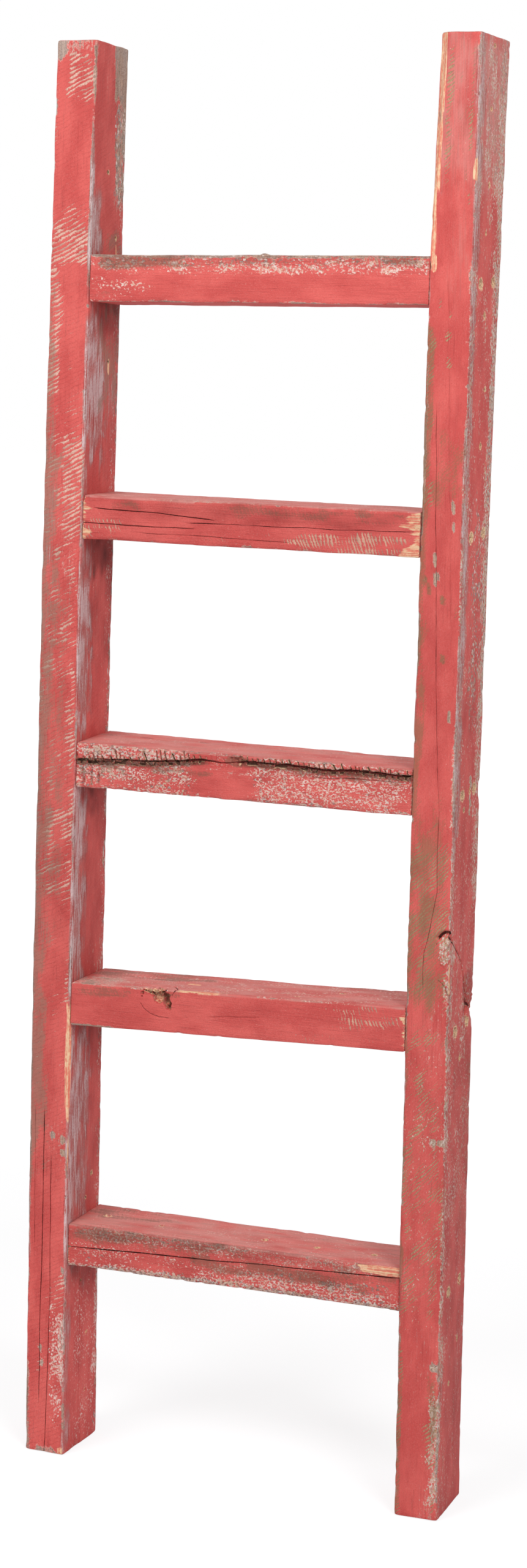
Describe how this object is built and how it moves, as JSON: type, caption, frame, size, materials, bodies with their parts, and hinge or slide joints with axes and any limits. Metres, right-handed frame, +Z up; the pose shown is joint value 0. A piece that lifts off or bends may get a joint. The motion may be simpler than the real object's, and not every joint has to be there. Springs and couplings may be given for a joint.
{
  "type": "blanket ladder",
  "caption": "Rustic wooden blanket ladder: upright rails joined by flat rungs, in worn red paint over reclaimed timber, for hanging folded blankets.",
  "frame": {"origin": "on the floor, midway between the rails and midway through their depth", "axes": "+X to the right seen from the front, +Y to the back, +Z up along the rails"},
  "size_m": [0.379, 0.067, 1.219],
  "materials": {
    "painted_wood": "matte worn paint over weathered wood",
    "screw_steel": "dull zinc"
  },
  "bodies": {
    "root": {"rail_left": "painted_wood", "rail_right": "painted_wood", "rung_1": "painted_wood", "rung_2": "painted_wood", "rung_3": "painted_wood", "rung_4": "painted_wood", "rung_5": "painted_wood", "rung_1_screws_left": "screw_steel", "rung_1_screws_right": "screw_steel", "rung_2_screws_left": "screw_steel", "rung_2_screws_right": "screw_steel", "rung_3_screws_left": "screw_steel", "rung_3_screws_right": "screw_steel", "rung_4_screws_left": "screw_steel", "rung_4_screws_right": "screw_steel", "rung_5_screws_left": "screw_steel", "rung_5_screws_right": "screw_steel"}
  },
  "joints": []
}
